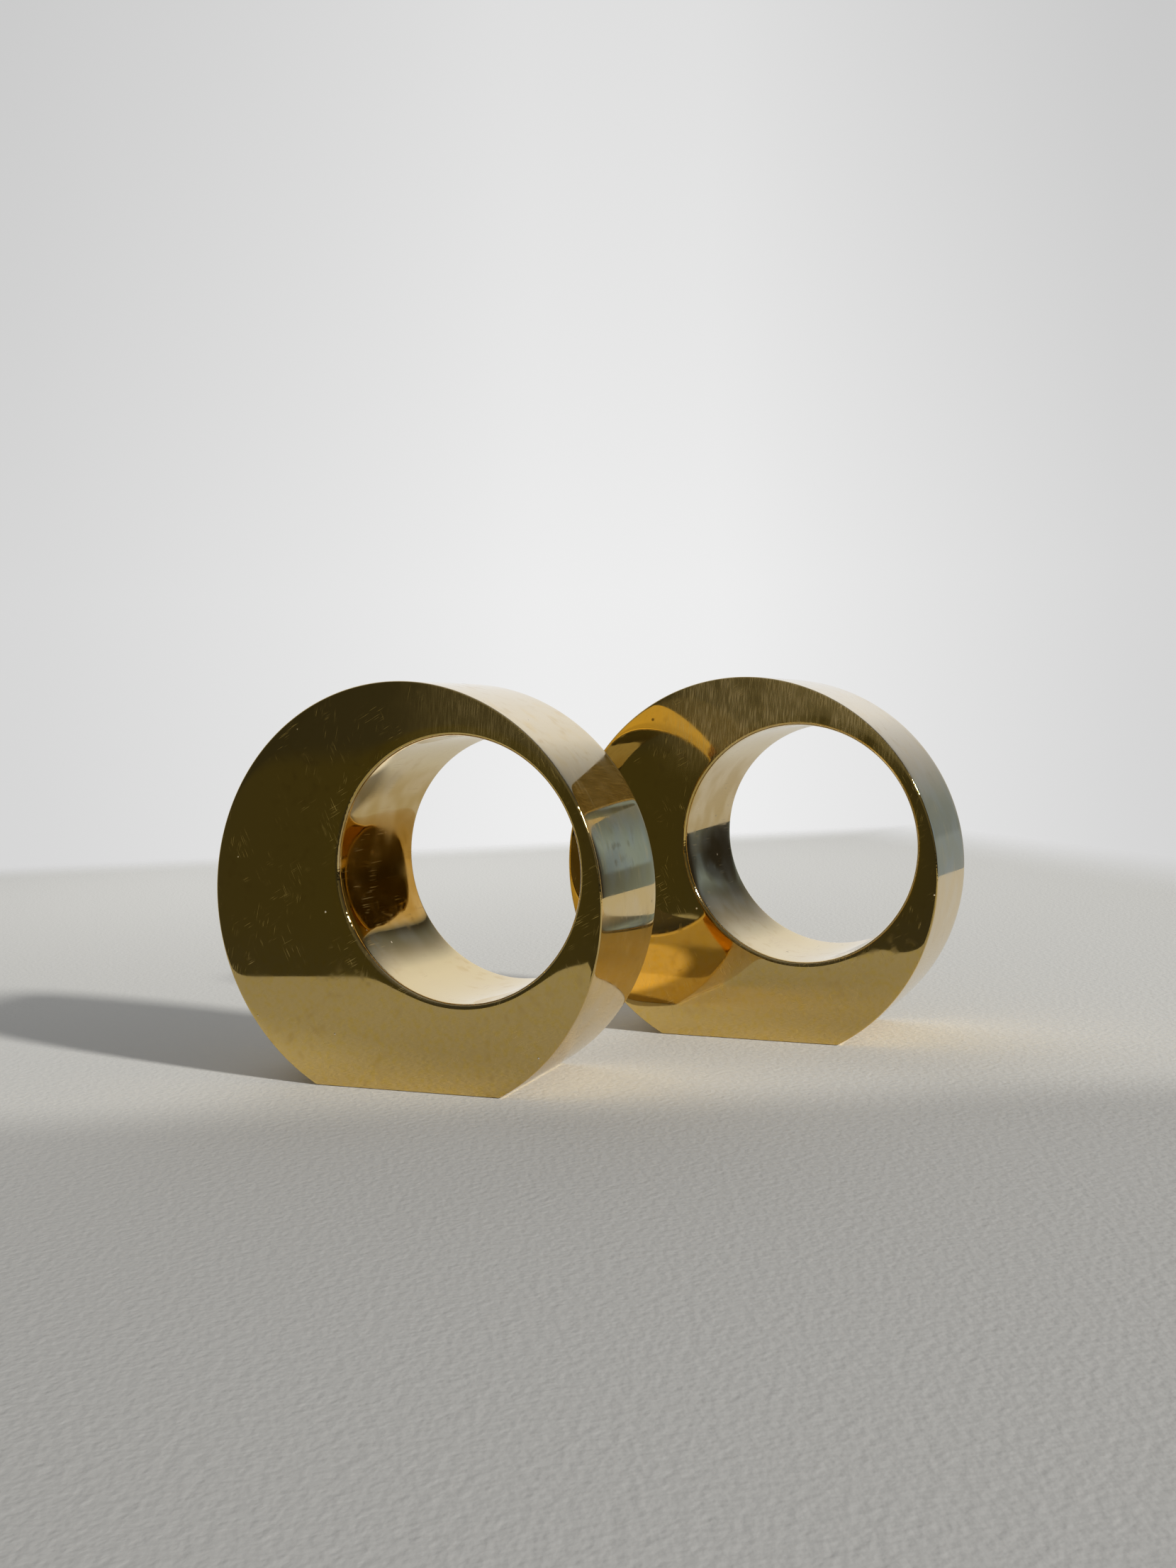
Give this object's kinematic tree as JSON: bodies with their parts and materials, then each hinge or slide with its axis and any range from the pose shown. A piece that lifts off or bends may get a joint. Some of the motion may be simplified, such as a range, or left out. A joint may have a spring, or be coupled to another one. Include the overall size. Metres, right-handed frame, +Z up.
{
  "type": "napkin ring set",
  "caption": "Thick polished brass rings, each with an off-centre round bore and a flat foot to stand on edge, for holding rolled table napkins.",
  "frame": {"origin": "centre of the near ring's flat foot, midway between its faces", "axes": "+Z up, the near ring's bore along Y with its front face towards -Y, +X to the right seen from the front"},
  "size_m": [0.0912, 0.061, 0.0526],
  "materials": {
    "polished_brass": "mirror polished with fine buffing lines, softened edges and a little handling wear"
  },
  "bodies": {
    "near_ring": {"near_ring": "polished_brass"},
    "far_ring": {"far_ring": "polished_brass"}
  },
  "joints": [
    {"name": "far_ring_lift", "type": "slide", "parent": "near_ring", "child": "far_ring", "axis": [0, 0, 1], "range_m": [0, 0.07]}
  ]
}
